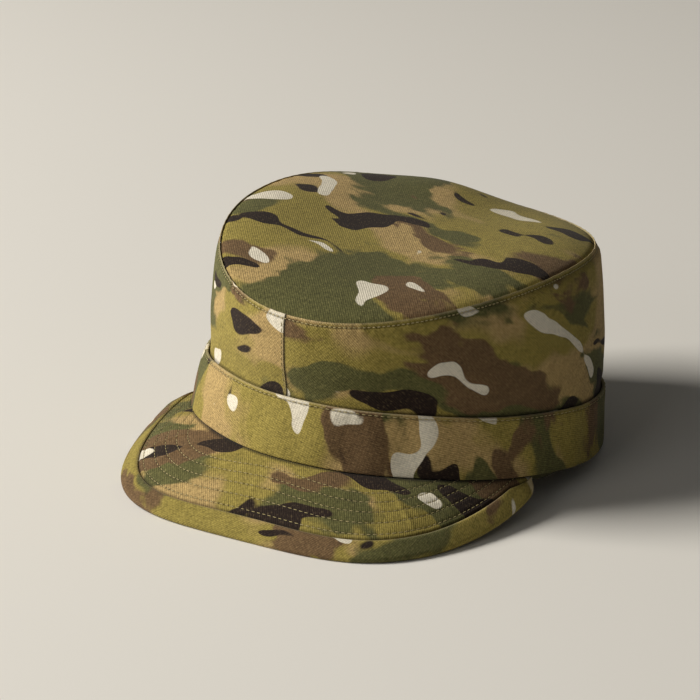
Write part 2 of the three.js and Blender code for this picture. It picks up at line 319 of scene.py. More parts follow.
def make_crown_side(name, start, end, overlaps):
    """One half of the wall. Where it overlaps the other half its edge is lifted and painted pale, partly
    worn and partly a painted highlight, and else it is sunk and given painted shade."""
    angles = start + (end - start) * side_shares
    outer = wall_grid(angles, wall_heights, 0)
    inner = wall_grid(angles, wall_heights, 1)
    from_edge = np.linalg.norm(outer - outer[:, -1:], axis=2)
    # The edge under the crown's seam is painted pale, partly worn and partly a painted highlight on the
    # rolled ridge.
    wear = edge_wear_and_highlight * (1 - smooth(0.4 * mm, 1.2 * mm, from_edge))
    # Painted shade along the stitched line under the crown's seam, and on the wall's foot up to just above
    # the band's upper edge.
    pressed = stitch_shade * bell(from_edge - crown_stitch_drop, 0.55 * mm)
    pressed = np.maximum(pressed, foot_shade * (1 - smooth(0, 0.02, wall_heights))[None, :])
    # Beside the upright seams the overlapping half is painted pale at its lifted edge, partly worn and
    # partly a painted highlight, and the other half gets painted shade under the overlap.
    for edge_column in (0, -1):
        from_seam = np.linalg.norm(outer - outer[edge_column][None], axis=2)
        if overlaps:
            wear = np.maximum(wear, fell_wear_and_highlight * (1 - smooth(0.3 * mm, 1.1 * mm, from_seam)))
        else:
            pressed = np.maximum(pressed, fell_shade * (1 - smooth(0.4 * mm, 1.1 * mm, from_seam)))
    lift = fell_rise if overlaps else -fell_sink
    clear = upright_clearance if start >= 0 else -upright_clearance
    for edge_column in (0, -1):
        shift = fell_lift(outer, inner, edge_column, lift)
        outer = outer + shift
        inner = inner + shift * 0.6
        outer[edge_column, :, 0] += clear
        inner[edge_column, :, 0] += clear
    return cloth_shell(name, outer, inner, {"cloth": cloth_map_of(outer)}, wear=wear, pressed=pressed,
                       reverse=wrong_side_shown)


def add_node(tree, kind, inputs=None, **settings):
    """A node with its settings, and its inputs given as values or as sockets to link."""
    made = tree.nodes.new(kind)
    for key, value in settings.items():
        setattr(made, key, value)
    for key, value in (inputs or {}).items():
        if isinstance(value, bpy.types.NodeSocket):
            tree.links.new(value, made.inputs[key])
        else:
            made.inputs[key].default_value = value
    return made


def paint(red, green, blue):
    """A display colour, 0 to 255, as the linear colour that a shader takes."""
    channels = [channel / 255 for channel in (red, green, blue)]
    linear = [c / 12.92 if c <= 0.04045 else ((c + 0.055) / 1.055) ** 2.4 for c in channels]
    return (*linear, 1.0)


# The print, from the ground up: blotches of one colour over what lies below. Size is in millimetres,
# stretch widens them along the cloth, level is the noise above which a blotch shows, blur how soft its
# outline is and detail how ragged.
ground_colour = paint(170, 145, 96)
print_layers = [
    {"colour": paint(142, 128, 64), "size": 50, "stretch": 1.6, "level": 0.46, "blur": 0.03,
     "detail": 3.0},
    {"colour": paint(88, 87, 50), "size": 42, "stretch": 1.9, "level": 0.53, "blur": 0.014,
     "detail": 4.5},
    {"colour": paint(104, 82, 56), "size": 38, "stretch": 1.8, "level": 0.58, "blur": 0.012,
     "detail": 4.5},
    {"colour": paint(38, 27, 22), "size": 21, "stretch": 2.1, "level": 0.655, "blur": 0.005,
     "detail": 1.0},
    {"colour": paint(218, 211, 194), "size": 17, "stretch": 1.4, "level": 0.705, "blur": 0.005,
     "detail": 0.3},
]
print_warp = 18 * mm


def calculate(tree, operation, *values):
    """The result of one sum, from values or sockets."""
    return add_node(tree, "ShaderNodeMath", dict(enumerate(values)), operation=operation).outputs[0]


def blend(tree, share, under, over):
    """One colour laid over another."""
    mix = add_node(tree, "ShaderNodeMix", {"Factor": share, 6: under, 7: over}, data_type="RGBA")
    return mix.outputs[2]


def ramp(tree, value, low, high, start=0.0, end=1.0, **settings):
    """From start to end while the value goes from low to high."""
    return add_node(tree, "ShaderNodeMapRange", {
        "Value": value, "From Min": low, "From Max": high, "To Min": start, "To Max": end,
    }, **settings).outputs[0]


def state_of(tree, name):
    """What a piece's mesh says about its cloth: how pale it is painted, partly worn and partly a painted
    highlight, how much painted shade lies on it, or how far its wrong side shows.
    """
    return add_node(tree, "ShaderNodeAttribute", attribute_name=name).outputs["Fac"]


def make_print():
    """A node group that turns a place on the cloth, in metres, into the print's colour."""
    group = bpy.data.node_groups.new("blotch_print", "ShaderNodeTree")
    group.interface.new_socket("Vector", in_out="INPUT", socket_type="NodeSocketVector")
    group.interface.new_socket("Color", in_out="OUTPUT", socket_type="NodeSocketColor")
    place = group.nodes.new("NodeGroupInput").outputs["Vector"]
    warp_noise = add_node(group, "ShaderNodeTexNoise", {"Vector": place, "Scale": 38.0, "Detail": 1.0})
    centred = add_node(group, "ShaderNodeVectorMath", {0: warp_noise.outputs["Color"], 1: (0.5, 0.5, 0.5)},
                       operation="SUBTRACT")
    scaled = add_node(group, "ShaderNodeVectorMath", {0: centred.outputs[0], "Scale": print_warp},
                      operation="SCALE")
    warped = add_node(group, "ShaderNodeVectorMath", {0: place, 1: scaled.outputs[0]}, operation="ADD")

    # Each layer is cut from another place of the noise, turned and stretched.
    colour = ground_colour
    for number, layer in enumerate(print_layers):
        frequency = 1 / (layer["size"] * mm)
        mapping = add_node(group, "ShaderNodeMapping", {
            "Vector": warped.outputs[0],
            "Location": (3.7 * number + 1.3, 2.1 * number, 0.9 * number),
            "Rotation": (0, 0, 0.35 * (number % 3 - 1)),
            "Scale": (frequency / layer["stretch"], frequency, 1.0),
        })
        noise = add_node(group, "ShaderNodeTexNoise", {
            "Vector": mapping.outputs[0], "Scale": 1.0, "Detail": layer["detail"], "Roughness": 0.45,
        })
        low, high = layer["level"] - layer["blur"], layer["level"] + layer["blur"]
        shown = ramp(group, noise.outputs[0], low, high, interpolation_type="SMOOTHSTEP")
        colour = blend(group, shown, colour, layer["colour"])
    group.links.new(colour, group.nodes.new("NodeGroupOutput").inputs["Color"])
    return group


blotch_print = make_print()
wale = 0.95 * mm
float_length = 1.3 * mm
tone_shares = {"weave": 0.45, "threads": 1.5, "mottle": 0.5, "base": -0.16}
height_shares = {"weave": 0.9, "threads": 0.6}
fleck_colour = paint(150, 134, 96)
wrong_side_colour = paint(158, 146, 112)
# Pale edges, partly worn and partly a painted highlight, and painted shade.
worn_and_highlight_colour = paint(202, 186, 146)
shade_colour = paint(28, 22, 14)


def bands(tree, place, width, direction, distortion, detail, detail_scale):
    """Soft bands of a real width across a place on the cloth."""
    return add_node(tree, "ShaderNodeTexWave", {
        "Vector": place, "Scale": math.pi / 10 / width, "Distortion": distortion,
        "Detail": detail, "Detail Scale": detail_scale,
    }, wave_type="BANDS", bands_direction=direction).outputs[1]


def printed_twill(name, shift, turn, wale_turn, stitch_row_shade=None):
    """Twill printed all over. Shift and turn say where on the cloth the piece is cut, in metres and
    degrees, and wale_turn how its diagonal ribs run."""
    material = bpy.data.materials.new(name)
    material.use_nodes = True
    tree = material.node_tree
    shader = tree.nodes["Principled BSDF"]
    cloth = add_node(tree, "ShaderNodeUVMap", uv_map="cloth").outputs[0]
    cut = add_node(tree, "ShaderNodeMapping", {
        "Vector": cloth, "Location": (*shift, 0), "Rotation": (0, 0, math.radians(turn)),
    }).outputs[0]
    printed = add_node(tree, "ShaderNodeGroup", {"Vector": cut}, node_tree=blotch_print).outputs[0]

    # The weave: ribs broken by the floats that cross them, with uneven threads along them.
    weave_place = add_node(tree, "ShaderNodeMapping", {
        "Vector": cloth, "Rotation": (0, 0, math.radians(wale_turn)),
    }).outputs[0]
    ribs = bands(tree, weave_place, wale, "X", distortion=0.8, detail=2.0, detail_scale=3.0)
    floats = bands(tree, weave_place, float_length, "Y", distortion=2.0, detail=1.0, detail_scale=4.0)
    weave = calculate(tree, "MULTIPLY", ribs, calculate(tree, "MULTIPLY_ADD", floats, 0.6, 0.4))
    along_ribs = add_node(tree, "ShaderNodeVectorMath", {0: weave_place, 1: (1.0, 0.45, 1.0)},
                          operation="MULTIPLY").outputs[0]
    threads = add_node(tree, "ShaderNodeTexNoise", {
        "Vector": along_ribs, "Scale": 1250.0, "Detail": 1.5, "Roughness": 0.6,
    }).outputs[0]
    mottle = add_node(tree, "ShaderNodeTexNoise", {
        "Vector": cloth, "Scale": 160.0, "Detail": 3.0,
    }).outputs[0]

    # The tone of the weave, which is evened out where the print is light.
    tone = calculate(tree, "MULTIPLY_ADD", weave, tone_shares["weave"], tone_shares["base"])
    tone = calculate(tree, "MULTIPLY_ADD", threads, tone_shares["threads"], tone)
    tone = calculate(tree, "MULTIPLY_ADD", mottle, tone_shares["mottle"], tone)
    brightness = add_node(tree, "ShaderNodeRGBToBW", {0: printed}).outputs[0]
    evened = ramp(tree, brightness, 0.35, 0.6, 0.0, 0.45)
    tone = add_node(tree, "ShaderNodeMix", {
        "Factor": evened, 2: tone, 3: 1.0,
    }, data_type="FLOAT").outputs[0]

    # The colour: flecks of bare thread, the pale wrong side, pale edges that are partly worn and partly a
    # painted highlight, and painted shade in seams, stitched lines and contacts.
    flecks = ramp(tree, threads, 0.56, 0.74, 0.0, 0.15)
    colour = blend(tree, flecks, printed, fleck_colour)
    colour = blend(tree, state_of(tree, "reverse"), colour, wrong_side_colour)
    colour = add_node(tree, "ShaderNodeVectorMath", {
        0: colour, "Scale": tone,
    }, operation="SCALE").outputs[0]
    # Pale edges: partly wear, partly a painted highlight.
    colour = blend(tree, state_of(tree, "wear"), colour, worn_and_highlight_colour)
    # Painted shade along stitched lines, seams and where pieces meet.
    colour = blend(tree, state_of(tree, "pressed"), colour, shade_colour)
    # Painted shade in the peak's needle holes and along its rows of stitching.
    if stitch_row_shade:
        colour = stitch_row_shade(tree, colour)
    thread_relief = calculate(tree, "MULTIPLY", threads, height_shares["threads"])
    height = calculate(tree, "MULTIPLY_ADD", weave, height_shares["weave"], thread_relief)
    bump = add_node(tree, "ShaderNodeBump", {"Strength": 0.5, "Distance": 0.25 * mm, "Height": height})
    tree.links.new(colour, shader.inputs["Base Color"])
    tree.links.new(bump.outputs[0], shader.inputs["Normal"])
    shader.inputs["Roughness"].default_value = 0.9
    shader.inputs["Specular IOR Level"].default_value = 0.2
    shader.inputs["Sheen Weight"].default_value = 0.05
    shader.inputs["Sheen Roughness"].default_value = 0.5
    return material


left_twill = printed_twill("crown_side_left_twill", shift=(3.05, 7.94), turn=4, wale_turn=-42)
right_twill = printed_twill("crown_side_right_twill", shift=(6.85, 5.46), turn=-6, wale_turn=-42)
crown_left = make_crown_side("crown_side_left_cloth", 0, math.pi, overlaps=False)
crown_right = make_crown_side("crown_side_right_cloth", -math.pi, 0, overlaps=True)
finish_piece(crown_left, left_twill, "crown_side_left")
finish_piece(crown_right, right_twill, "crown_side_right")

# Crown top
# One egg-shaped panel. The seam bends it up at both sides, it domes a little, and its edge dips into
# the groove behind the ridge of the seam.
dome_height = 7.1 * mm
dome_flatness = 5.5
panel_inset = 0.98 * mm
groove_depth = 0.6 * mm
drawn_height = 0.12 * mm
top_softness = 0.35 * mm
panel_reach = 88

# Hollows and one rise, as shares of the dome. Out is the way from the middle to the rim, wide a share
# of the cap's half width.
top_sags = [
    {"bearing": 165, "out": 0.72, "wide": 0.3, "depth": 0.35},
    {"bearing": 40, "out": 0.5, "wide": 0.4, "depth": 0.2},
    {"bearing": -60, "out": 0.45, "wide": 0.25, "depth": 0.08},
    {"bearing": -164, "out": 0.8, "wide": 0.3, "depth": -0.92},
]


def top_grid(angles, shares, depth):
    """Points of the panel's upper face, depth 0, or lower face, depth 1. Shares run out from the
    middle to the rim."""
    angle, out = np.meshgrid(angles, shares, indexing="ij")
    rim_x, rim_y = ring_point("seam", angle, panel_inset)
    middle_y = centre_y + rings["seam"]["back"] * cap_length
    x = centre_x + (rim_x - centre_x) * out
    y = middle_y + (rim_y - middle_y) * out
    sag = np.zeros_like(x)
    for hollow in top_sags:
        hollow_x, hollow_y = ring_point("seam", math.radians(hollow["bearing"]), 0)
        away_x = x - (centre_x + (hollow_x - centre_x) * hollow["out"])
        away_y = y - (middle_y + (hollow_y - middle_y) * hollow["out"])
        sag += hollow["depth"] * bell(np.hypot(away_x, away_y), hollow["wide"] * cap_width / 2)
    saddle = crown_side_rise / 2 * (1 - out ** 2 * np.cos(2 * angle))
    dome = dome_height * (1 - sag) * (1 - out ** dome_flatness)
    from_rim = np.hypot(rim_x - x, rim_y - y)
    groove = -groove_depth * bell(from_rim, 1.0 * mm)
    drawn = drawn_height * ripples(angle, 19, (50, 110)) * bell(from_rim - 2 * mm, 3 * mm)
    waves = np.sin(70 * x + 40 * y) * np.sin(55 * y - 25 * x)
    soft = top_softness * waves * smooth(0, 20 * mm, from_rim)
    thickness = crown_cloth * (0.3 + 0.7 * smooth(0, 5 * mm, from_rim))
    tilt = back_rise(angle) * out ** 3 - crown_lean * out * np.sin(angle)
    z = crown_height + saddle + tilt + dome + groove + drawn + soft
    return np.stack([x, y, z - depth * thickness], 2)


# Rings close together near the rim, in millimetres from it where the panel reaches out furthest.
top_angles = np.linspace(0, 2 * math.pi, 301)
rim_steps = np.array([0, 0.3, 0.7, 1.2, 1.8, 2.6, 3.6, 5, 7, 9.5, 12.5, 16])
top_shares = np.concatenate([1 - rim_steps / panel_reach, np.linspace(0.79, 0, 30)])
top_outer = top_grid(top_angles, top_shares, 0)
top_inner = top_grid(top_angles, top_shares, 1)
crown_top = cloth_shell("crown_top_cloth", top_outer, top_inner, {"cloth": top_outer[..., :2]},
                        closed=True, reverse=wrong_side_shown)
top_twill = printed_twill("crown_top_twill", shift=(5.68, 8.83), turn=12, wale_turn=-40)
finish_piece(crown_top, top_twill, "crown_top")

# Band
# A strip of the same twill folded double, laid round the foot of the crown and stitched along its
# upper fold. The print runs upright on it, because the strip is cut along the cloth.
band_stitch_drop = 1.6 * mm
band_stitch_sink = 0.25 * mm
band_swell = 2.0 * mm
band_swell_at = {"bearing": -98, "spread": 45}
band_pucker = 0.13 * mm
band_wave = 0.4 * mm
fold_fullness = 0.12
band_angles = np.linspace(-math.pi, math.pi, 541)
band_shares = np.concatenate([
    np.array([0, 0.006, 0.018, 0.035, 0.06]),
    np.linspace(0.1, 0.86, 16),
    np.linspace(0.88, 0.97, 12),
    np.array([0.98, 0.99, 0.997, 1.0]),
])


def band_grid(angles, shares, depth):
    """Points of the band's outer face, depth 0, or inner face, depth 1. Shares run up from the foot."""
    angle, share = np.meshgrid(angles, shares, indexing="ij")
    low_z, high_z = foot_height(angle), head_height(angle)
    from_top = (1 - share) * (high_z - low_z)
    from_foot = share * (high_z - low_z)
    radius = band_cloth / 2
    near_edge = np.minimum(from_top, from_foot)
    turn = np.clip(1 - near_edge / (radius * 0.9), 0, 1)
    half = radius * (fold_fullness + (1 - fold_fullness) * np.sqrt(1 - turn ** 2))
    stitch_dip = -band_stitch_sink * bell(from_top - band_stitch_drop, 0.55 * mm)
    pucker = band_pucker * ripples(angle, 23, (70, 130)) * bell(from_top - 2.5 * mm, 3.5 * mm)
    soft = band_wave * ripples(angle, 29, (9, 26), 1.8 * share) * smooth(0, 6 * mm, near_edge)
    outward = stitch_dip + pucker + soft if depth == 0 else 0
    swell = 4 * share * (1 - share) * band_swell * nearness(angle, band_swell_at)
    middle_inset = radius - cloth_slack(angle) - swell
    inset = middle_inset - half - outward if depth == 0 else middle_inset + half
    low_x, low_y = ring_point("foot", angle, inset)
    high_x, high_y = ring_point("head", angle, inset)
    x = low_x + (high_x - low_x) * share
    y = low_y + (high_y - low_y) * share
    return np.stack([x, y, low_z + (high_z - low_z) * share], 2)


band_outer = band_grid(band_angles, band_shares, 0)
band_inner = band_grid(band_angles, band_shares, 1)
band_map = cloth_map_of(band_outer)
band_drops = np.linalg.norm(band_outer - band_outer[:, -1:], axis=2)
# The upper fold is painted pale, partly worn and partly a painted highlight on its rounded edge.
band_wear_and_highlight = 0.35 * (1 - smooth(0.4 * mm, 0.9 * mm, band_drops))
# Painted shade along the stitched line under the band's upper fold.
band_painted_shade = 0.5 * bell(band_drops - band_stitch_drop, 0.45 * mm)
band = cloth_shell("band_cloth", band_outer, band_inner, {"cloth": band_map}, closed=True,
                   wear=band_wear_and_highlight, pressed=band_painted_shade)
band_twill = printed_twill("band_twill", shift=(7.08, 0.14), turn=80, wale_turn=104)
finish_piece(band, band_twill, "band")

# Peak
# Two layers of twill over a stiff core, sewn in under the band. Rows of stitching follow its edge and
# run in under the band at both sides; the part next to the band is plain.
peak_cloth = 2.2 * mm
peak_edge_cloth = 1.0 * mm
binding_cloth = 1.0 * mm
rim_radius = peak_edge_cloth / 2 + seam_gap + binding_cloth
peak_reach = 36.1 * mm
peak_width = 189.2 * mm
peak_turn = math.radians(1.3)
peak_camber = 2.6 * mm
slope_stretch = 1.16
peak_rise = 2.7
corner_sides = 3.95
corner_front = 1.73
binding_width = 7.0 * mm
widest_binding = 0.6
rim_press = 0.1 * mm
stitch_row_first = 9.6 * mm
stitch_row_step = 5.3 * mm
stitch_row_count = 5
stitch_pitch = 2.7 * mm
peak_stitch_sink = 0.26 * mm
wrinkle_height = 0.09 * mm
# Painted shade in needle holes and along the peak's rows of stitching.
needle_hole_shade_colour = paint(30, 24, 16)

# Where the peak is widest and how far its edge goes on behind that, as shares of the cap's length, and
# how far it sits to one side, as a share of the cap's width.
peak_shoulder = 0.244
peak_tail = 0.153
peak_shift = -0.0158

# Creases where the cloth is drawn in round the corners. Run is the share of the way along the edge.
# The rest is in metres: lean is how far a crease shifts along the edge on its way in, near and far
# are its ends counted from the edge.
peak_creases = [
    {"run": 0.225, "lean": 0.012, "near": 0.010, "far": 0.034, "wide": 0.0011, "height": 0.00075},
    {"run": 0.165, "lean": 0.016, "near": 0.009, "far": 0.032, "wide": 0.0014, "height": 0.00065},
    {"run": 0.285, "lean": 0.006, "near": 0.012, "far": 0.036, "wide": 0.0016, "height": 0.00045},
    {"run": 0.500, "lean": -0.004, "near": 0.008, "far": 0.026, "wide": 0.0020, "height": 0.00024},
    {"run": 0.760, "lean": -0.010, "near": 0.009, "far": 0.030, "wide": 0.0014, "height": 0.00038},
    {"run": 0.830, "lean": -0.014, "near": 0.009, "far": 0.028, "wide": 0.0012, "height": 0.00038},
]


def rim_plan(turn):
    """x and y of the middle of the bound edge, counted from the middle of the head opening."""
    shoulder = cap_length * peak_shoulder
    front_reach = cap_length / 2 + peak_reach - shoulder
    reach = np.where(np.cos(turn) > 0, front_reach, cap_length * peak_tail)
    x = peak_shift * cap_width + peak_width / 2 * signed_power(np.sin(turn), 2 / corner_sides)
    y = -shoulder - reach * signed_power(np.cos(turn), 2 / corner_front)
    cos, sin = math.cos(peak_turn), math.sin(peak_turn)
    return x * cos - y * sin, x * sin + y * cos


def root_plan(bearing, inset=0.0):
    """x and y of the line where the peak meets the foot of the band."""
    x, y = ring_point("foot", bearing, inset)
    return x - centre_x, y - centre_y


def rim_run(columns):
    """Evenly spaced points of the rim between the places where it runs in under the band."""
    turns = np.linspace(-math.pi * 0.8, math.pi * 0.8, 8001)
    x, y = rim_plan(turns)
    root_x, root_y = root_plan(np.arctan2(x, -y))
    outside = np.hypot(x, y) > np.hypot(root_x, root_y)
    x, y = x[outside], y[outside]
    run = np.concatenate([[0], np.cumsum(np.hypot(np.diff(x), np.diff(y)))])
    even = np.linspace(0, run[-1], columns)
    return np.interp(even, run, x), np.interp(even, run, y), even


class PeakSections:
    """Radial sections of the peak, one for each column: rim, root and the way between them."""

    def __init__(self, columns):
        self.rim_x, self.rim_y, self.run = rim_run(columns)
        self.bearing = np.arctan2(self.rim_x, -self.rim_y)
        ends = np.where(self.bearing < 0, abs(self.bearing[0]), self.bearing[-1])
        sunk = 1 - np.minimum(1, np.abs(self.bearing) / ends) ** peak_rise
        rest_height = rim_radius - rim_press
        end_drop = seam_gap + rim_radius
        front_drop = foot_height(0.0) - rest_height
        rim_z = foot_height(self.bearing) - (end_drop + (front_drop - end_drop) * sunk)
        self.rim_z = np.maximum(rest_height, rim_z)
        self.root_x, self.root_y = root_plan(self.bearing)
        self.root_z = foot_height(self.bearing) - seam_gap - peak_cloth / 2
        span_x, span_y = self.rim_x - self.root_x, self.rim_y - self.root_y
        self.length = np.maximum(np.hypot(span_x, span_y), 1e-6)
        self.out_x, self.out_y = span_x / self.length, span_y / self.length
        self.camber = peak_camber * np.minimum(1, self.length / peak_reach)
        self.bound = np.minimum(binding_width, widest_binding * self.length)

    def slope(self, share):
        rise = (self.root_z - self.rim_z)[:, None] + 4 * self.camber[:, None] * (1 - 2 * share)
        return np.arctan2(rise, np.maximum(self.length, 2 * binding_width)[:, None])

    def points(self, along, height):
        """Points at distances along each section from the rim, out from its middle by a height."""
        share = along / self.length[:, None]
        slope = self.slope(share)
        sideways = np.sin(slope) * height
        x = self.rim_x[:, None] + (self.root_x - self.rim_x)[:, None] * share
        y = self.rim_y[:, None] + (self.root_y - self.rim_y)[:, None] * share
        z = self.rim_z[:, None] + (self.root_z - self.rim_z)[:, None] * share
        x = x + self.out_x[:, None] * sideways
        y = y + self.out_y[:, None] * sideways
        z = z + 4 * self.camber[:, None] * share * (1 - share) + np.cos(slope) * height
        return np.stack([centre_x + x, centre_y + y, z], 2)


def peak_skin(sections, side):
    """One face of the peak: thin under the binding, then full and drawn in along the stitching."""
    shares = np.linspace(0, 1, 84)[None, :]
    along = sections.length[:, None] * shares
    ledge = (sections.bound + seam_gap)[:, None]
    full = smooth(0, 1, (along - ledge + 0.2 * mm) / (1.2 * mm))
    height = peak_edge_cloth / 2 + (peak_cloth - peak_edge_cloth) / 2 * full
    for row in range(stitch_row_count):
        distance = along - (stitch_row_first + row * stitch_row_step)
        height = height - peak_stitch_sink * bell(distance, 0.6 * mm) * full
    run = sections.run[:, None]
    wrinkle = np.sin(run / (2.9 * mm) + 1.7 * np.sin(run / (11 * mm)))
    wrinkle = wrinkle * np.sin(along / (3.4 * mm) + run / (23 * mm))
    stitched = smooth(0, 4 * mm, along - ledge) * (1 - smooth(32 * mm, 38 * mm, along))
    height = height + wrinkle_height * wrinkle * stitched
    for crease in peak_creases:
        share = np.clip((along - crease["near"]) / (crease["far"] - crease["near"]), 0, 1)
        line = crease["run"] * sections.run[-1] + crease["lean"] * share
        ends = smooth(0, 0.2, share) * (1 - smooth(0.7, 1, share))
        height = height + crease["height"] * bell(run - line, crease["wide"]) * ends
    skin = sections.points(along, side * height)
    sewn_x, sewn_y = root_plan(sections.bearing, band_cloth)
    sewn_z = sections.root_z + side * peak_cloth / 2
    sewn = np.stack([centre_x + sewn_x, centre_y + sewn_y, sewn_z], 1)
    distances = np.concatenate([along, sections.length[:, None] + band_cloth], axis=1)
    return np.concatenate([skin, sewn[:, None]], axis=1), distances


def peak_stitch_shade(tree, colour):
    """Painted shade in the needle holes and along the rows of stitching, from the map of run and distance.
    """
    rows = add_node(tree, "ShaderNodeUVMap", uv_map="rows")
    parts = add_node(tree, "ShaderNodeSeparateXYZ", {0: rows.outputs[0]})
    run, distance = parts.outputs[0], parts.outputs[1]
    from_first = calculate(tree, "SUBTRACT", distance, stitch_row_first)
    row_place = calculate(tree, "DIVIDE", from_first, stitch_row_step)
    nearest = calculate(tree, "MAXIMUM", calculate(tree, "ROUND", row_place), 0.0)
    nearest = calculate(tree, "MINIMUM", nearest, stitch_row_count - 1.0)
    off_row = calculate(tree, "ABSOLUTE", calculate(tree, "SUBTRACT", row_place, nearest))
    off_row_mm = calculate(tree, "MULTIPLY", off_row, stitch_row_step / mm)
    pitches = calculate(tree, "ADD", calculate(tree, "DIVIDE", run, stitch_pitch), 0.5)
    off_hole = calculate(tree, "SUBTRACT", calculate(tree, "FRACT", pitches), 0.5)
    off_hole_mm = calculate(tree, "MULTIPLY", calculate(tree, "ABSOLUTE", off_hole), stitch_pitch / mm)
    off_both = add_node(tree, "ShaderNodeCombineXYZ", {0: off_row_mm, 1: off_hole_mm}).outputs[0]
    away = add_node(tree, "ShaderNodeVectorMath", {0: off_both}, operation="LENGTH").outputs["Value"]
    # Painted shade: dark in the needle holes and a faint dark line along each row.
    hole_shade = ramp(tree, away, 0.2, 0.6, 0.7, 0.0)
    line = ramp(tree, off_row_mm, 0.2, 0.7, 0.22, 0.0)
    return blend(tree, calculate(tree, "MAXIMUM", hole_shade, line), colour, needle_hole_shade_colour)


peak_sections = PeakSections(421)
peak_upper, peak_distance = peak_skin(peak_sections, 1)
peak_lower, _ = peak_skin(peak_sections, -1)
peak_map = np.stack([peak_upper[..., 0], peak_upper[..., 1] * slope_stretch], 2)
rows_map = np.stack([np.broadcast_to(peak_sections.run[:, None], peak_distance.shape), peak_distance], 2)
from_binding = peak_distance - (peak_sections.bound + seam_gap)[:, None]
from_band = peak_sections.length[:, None] - peak_distance
# Painted shade in the crease beside the binding and where the peak runs in under the band.
peak_painted_shade = 0.6 * np.maximum(bell(from_binding, 0.6 * mm), 1 - smooth(0, 1.4 * mm, from_band))
peak = cloth_shell("peak_cloth", peak_upper, peak_lower, {"cloth": peak_map, "rows": rows_map},
                   pressed=peak_painted_shade)
peak_twill = printed_twill("peak_twill", shift=(1.22, 6.31), turn=-4, wale_turn=-31,
                           stitch_row_shade=peak_stitch_shade)
finish_piece(peak, peak_twill, "peak")

# Binding of the peak
# A bias strip folded round the edge of the peak. It stands a little proud of the peak on both faces,
# is painted pale where its end is folded in and along its inner edge, partly worn and partly a painted
# highlight, and the surface flattens it where the cap rests.
binding_lumps = 0.12 * mm
# How pale the folded end and the inner edge are painted, partly worn and partly a painted highlight.
folded_end_wear_and_highlight = 0.9
inner_edge_wear_and_highlight = 0.4
legs = np.array([1.0, 0.93, 0.8, 0.6, 0.4, 0.2])
leg_fullness = np.array([0.55, 0.9, 1.0, 1.0, 1.0, 1.0])


def binding_grid(sections, radius, fullness, lump_height):
    """One face of the strip: out along the peak's underside, round its nose and back over the top.
    Legs are shares of the binding's width, fullness how thick it is at each."""
    run = sections.run[:, None]
    lumps = lump_height * np.sin(run / (4.1 * mm) + 2 * np.sin(run / (17 * mm)))
    leg_height = radius * fullness[None, :] + lumps * (1 - legs[None, :] ** 4)
    along = sections.bound[:, None] * legs[None, :]
    lower = sections.points(along, -leg_height)
    upper = sections.points(along, leg_height)[:, ::-1]
    around = math.pi * (np.linspace(0, 1, 15) - 0.5)[None, :]
    slope = sections.slope(np.zeros((1, 1)))
    outwards = radius * (np.cos(around) * np.cos(slope) + np.sin(around) * np.sin(slope))
    upwards = radius * (np.sin(around) * np.cos(slope) - np.cos(around) * np.sin(slope))
    nose = np.stack([
        centre_x + sections.rim_x[:, None] + sections.out_x[:, None] * outwards,
        centre_y + sections.rim_y[:, None] + sections.out_y[:, None] * outwards,
        sections.rim_z[:, None] + upwards,
    ], 2)
    grid = np.concatenate([lower, nose, upper], axis=1)
    grid[..., 2] = np.maximum(grid[..., 2], 0.0)
    return grid


binding_sections = PeakSections(381)
binding_outer = binding_grid(binding_sections, rim_radius, leg_fullness, binding_lumps)
binding_inner = binding_grid(binding_sections, rim_radius - binding_cloth, np.ones(len(legs)), 0.0)
binding_map = cloth_map_of(binding_outer)
# Pale at the folded end and along the raised inner edge: partly wear, partly a painted highlight.
to_end = (binding_sections.run[-1] - binding_sections.run)[:, None]
folded_end = folded_end_wear_and_highlight * (1 - smooth(8 * mm, 9 * mm, to_end))
inner_edge = np.linspace(0, 1, binding_outer.shape[1])[None, :]
binding_wear_and_highlight = np.maximum(folded_end, inner_edge_wear_and_highlight * smooth(0.955, 1.0, inner_edge))
binding = cloth_shell("peak_binding_cloth", binding_outer, binding_inner, {"cloth": binding_map},
                      wear=binding_wear_and_highlight)
binding_twill = printed_twill("binding_twill", shift=(2.9, 7.44), turn=2, wale_turn=48)
finish_piece(binding, binding_twill, "peak_binding")

# Stitching
# Lockstitch in a tan thread: one row under the ridge of the crown's seam, one beside the front and
# back seams, one along the band's upper fold and the rows that follow the edge of the peak.
thread_dark = paint(142, 130, 80)
thread_light = paint(194, 178, 128)
thread_height = 0.32 * mm
peak_thread_lift = 0.08 * mm
edge_thread_lift = 0.1 * mm
upright_thread_lift = 0.2 * mm
beside_seam = 1.3 * mm


def thread_material():
    """Twisted sewing thread, a little uneven in colour."""
    material = bpy.data.materials.new("thread")
    material.use_nodes = True
    tree = material.node_tree
    shader = tree.nodes["Principled BSDF"]
    place = add_node(tree, "ShaderNodeTexCoord").outputs["Object"]
    noise = add_node(tree, "ShaderNodeTexNoise", {"Vector": place, "Scale": 90.0, "Detail": 2.0})
    colour = blend(tree, noise.outputs[0], thread_dark, thread_light)
    twist = add_node(tree, "ShaderNodeTexWave", {"Vector": place, "Scale": 900.0}).outputs[1]
    bump = add_node(tree, "ShaderNodeBump", {"Strength": 0.3, "Distance": 0.1 * mm, "Height": twist})
    tree.links.new(colour, shader.inputs["Base Color"])
    tree.links.new(bump.outputs[0], shader.inputs["Normal"])
    shader.inputs["Roughness"].default_value = 0.7
    shader.inputs["Sheen Weight"].default_value = 0.1
    return material


